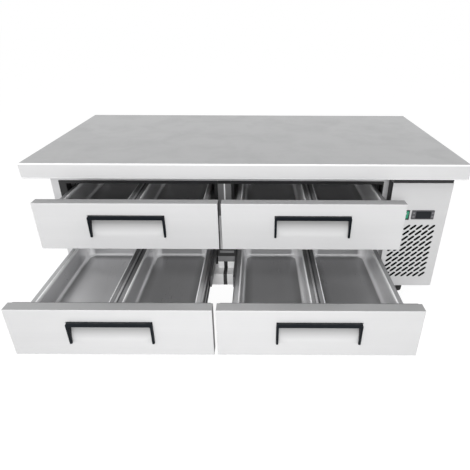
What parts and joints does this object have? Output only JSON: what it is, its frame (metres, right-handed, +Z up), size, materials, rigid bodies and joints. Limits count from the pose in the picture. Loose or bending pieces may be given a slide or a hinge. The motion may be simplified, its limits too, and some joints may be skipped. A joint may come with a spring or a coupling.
{
  "type": "refrigerated chef base",
  "caption": "Low refrigerated base with a flat stainless worktop, telescopic drawers that hold deep food pans, a louvred machine compartment and swivel casters.",
  "frame": {"origin": "on the floor, under the middle of the box that holds the base with its drawers open as they stand at rest", "axes": "+Z up, the drawer fronts face -Y, and +X runs to the end with the machine compartment"},
  "size_m": [1.69, 1.299, 0.676],
  "materials": {
    "brushed_stainless": "brushed along its length, satin",
    "drawer_stainless": "mill finish, lightly scratched",
    "pan_stainless": "deep drawn, bright satin",
    "zinc_slide": "zinc plated, dull",
    "black_plastic": "moulded, fine grain",
    "black_steel": "black paint, semi-matt",
    "grey_gasket": "soft, matt",
    "green_switch": "clear green, gloss",
    "dark_controller": "moulded, satin",
    "coil_aluminium": "mill finish",
    "black_rubber": "matt"
  },
  "bodies": {
    "root": {"worktop": "brushed_stainless", "left_wall": "brushed_stainless", "bulkhead": "brushed_stainless", "back_wall": "brushed_stainless", "floor_panel": "brushed_stainless", "front_frame": "brushed_stainless", "louvre_panel": "brushed_stainless", "machine_cover": "brushed_stainless", "cord_gland": "black_plastic", "controller": "dark_controller", "switch_housing": "black_plastic", "condenser": "coil_aluminium", "evaporator": "coil_aluminium", "compressor": "black_steel", "left_slide_rack": "zinc_slide", "centre_slide_rack": "zinc_slide", "right_slide_rack": "zinc_slide"},
    "upper_left_drawer": {"upper_left_front": "brushed_stainless", "upper_left_handle": "black_plastic", "upper_left_gasket": "grey_gasket", "upper_left_drawer_frame": "drawer_stainless", "upper_left_left_pan": "pan_stainless", "upper_left_right_pan": "pan_stainless"},
    "upper_right_drawer": {"upper_right_front": "brushed_stainless", "upper_right_handle": "black_plastic", "upper_right_gasket": "grey_gasket", "upper_right_drawer_frame": "drawer_stainless", "upper_right_left_pan": "pan_stainless", "upper_right_right_pan": "pan_stainless"},
    "lower_left_drawer": {"lower_left_front": "brushed_stainless", "lower_left_handle": "black_plastic", "lower_left_gasket": "grey_gasket", "lower_left_drawer_frame": "drawer_stainless", "lower_left_left_pan": "pan_stainless", "lower_left_right_pan": "pan_stainless"},
    "lower_right_drawer": {"lower_right_front": "brushed_stainless", "lower_right_handle": "black_plastic", "lower_right_gasket": "grey_gasket", "lower_right_drawer_frame": "drawer_stainless", "lower_right_left_pan": "pan_stainless", "lower_right_right_pan": "pan_stainless"},
    "upper_left_middle_slides": {"upper_left_left_middle_slide": "zinc_slide", "upper_left_right_middle_slide": "zinc_slide"},
    "upper_right_middle_slides": {"upper_right_left_middle_slide": "zinc_slide", "upper_right_right_middle_slide": "zinc_slide"},
    "lower_left_middle_slides": {"lower_left_left_middle_slide": "zinc_slide", "lower_left_right_middle_slide": "zinc_slide"},
    "lower_right_middle_slides": {"lower_right_left_middle_slide": "zinc_slide", "lower_right_right_middle_slide": "zinc_slide"},
    "front_left_caster": {"front_left_caster_fork": "black_steel"},
    "front_right_caster": {"front_right_caster_fork": "black_steel"},
    "back_left_caster": {"back_left_caster_fork": "black_steel"},
    "back_right_caster": {"back_right_caster_fork": "black_steel"},
    "front_left_wheel": {"front_left_caster_wheel": "black_rubber"},
    "front_right_wheel": {"front_right_caster_wheel": "black_rubber"},
    "back_left_wheel": {"back_left_caster_wheel": "black_rubber"},
    "back_right_wheel": {"back_right_caster_wheel": "black_rubber"},
    "condenser_fan": {"condenser_fan": "black_plastic"},
    "evaporator_fan": {"evaporator_fan": "black_plastic"},
    "switch_rocker": {"switch_rocker": "green_switch"}
  },
  "joints": [
    {"name": "upper_left_drawer_slide", "type": "slide", "parent": "root", "child": "upper_left_drawer", "axis": [0, -1, 0], "range_m": [-0.198, 0.332]},
    {"name": "upper_right_drawer_slide", "type": "slide", "parent": "root", "child": "upper_right_drawer", "axis": [0, -1, 0], "range_m": [-0.198, 0.332]},
    {"name": "lower_left_drawer_slide", "type": "slide", "parent": "root", "child": "lower_left_drawer", "axis": [0, -1, 0], "range_m": [-0.505, 0.025]},
    {"name": "lower_right_drawer_slide", "type": "slide", "parent": "root", "child": "lower_right_drawer", "axis": [0, -1, 0], "range_m": [-0.505, 0.025]},
    {"name": "upper_left_middle_travel", "type": "slide", "parent": "root", "child": "upper_left_middle_slides", "axis": [0, -1, 0], "range_m": [-0.099, 0.166]},
    {"name": "upper_right_middle_travel", "type": "slide", "parent": "root", "child": "upper_right_middle_slides", "axis": [0, -1, 0], "range_m": [-0.099, 0.166]},
    {"name": "lower_left_middle_travel", "type": "slide", "parent": "root", "child": "lower_left_middle_slides", "axis": [0, -1, 0], "range_m": [-0.2525, 0.0125]},
    {"name": "lower_right_middle_travel", "type": "slide", "parent": "root", "child": "lower_right_middle_slides", "axis": [0, -1, 0], "range_m": [-0.2525, 0.0125]},
    {"name": "front_left_swivel", "type": "hinge", "parent": "root", "child": "front_left_caster", "pos_m": [-0.683, -0.0425, 0.0987], "axis": [0, 0, 1], "continuous": true},
    {"name": "front_right_swivel", "type": "hinge", "parent": "root", "child": "front_right_caster", "pos_m": [0.712, -0.0425, 0.0987], "axis": [0, 0, 1], "continuous": true},
    {"name": "back_left_swivel", "type": "hinge", "parent": "root", "child": "back_left_caster", "pos_m": [-0.683, 0.5495, 0.0987], "axis": [0, 0, 1], "continuous": true},
    {"name": "back_right_swivel", "type": "hinge", "parent": "root", "child": "back_right_caster", "pos_m": [0.712, 0.5495, 0.0987], "axis": [0, 0, 1], "continuous": true},
    {"name": "front_left_wheel_spin", "type": "hinge", "parent": "front_left_caster", "child": "front_left_wheel", "pos_m": [-0.683, -0.0245, 0.0375], "axis": [1, 0, 0], "continuous": true},
    {"name": "front_right_wheel_spin", "type": "hinge", "parent": "front_right_caster", "child": "front_right_wheel", "pos_m": [0.712, -0.0245, 0.0375], "axis": [1, 0, 0], "continuous": true},
    {"name": "back_left_wheel_spin", "type": "hinge", "parent": "back_left_caster", "child": "back_left_wheel", "pos_m": [-0.683, 0.5675, 0.0375], "axis": [1, 0, 0], "continuous": true},
    {"name": "back_right_wheel_spin", "type": "hinge", "parent": "back_right_caster", "child": "back_right_wheel", "pos_m": [0.712, 0.5675, 0.0375], "axis": [1, 0, 0], "continuous": true},
    {"name": "condenser_fan_spin", "type": "hinge", "parent": "root", "child": "condenser_fan", "pos_m": [0.7135, -0.0595, 0.2468], "axis": [0, 1, 0], "continuous": true},
    {"name": "evaporator_fan_spin", "type": "hinge", "parent": "root", "child": "evaporator_fan", "pos_m": [0.2545, 0.5392, 0.369], "axis": [0, 1, 0], "continuous": true},
    {"name": "switch_rocker_tilt", "type": "hinge", "parent": "root", "child": "switch_rocker", "pos_m": [0.6535, -0.1345, 0.446], "axis": [1, 0, 0], "range_deg": [-20, 0]}
  ],
  "couplings": [
    {"joint": "upper_left_middle_travel", "follows": "upper_left_drawer_slide", "ratio": 0.5},
    {"joint": "upper_right_middle_travel", "follows": "upper_right_drawer_slide", "ratio": 0.5},
    {"joint": "lower_left_middle_travel", "follows": "lower_left_drawer_slide", "ratio": 0.5},
    {"joint": "lower_right_middle_travel", "follows": "lower_right_drawer_slide", "ratio": 0.5}
  ]
}
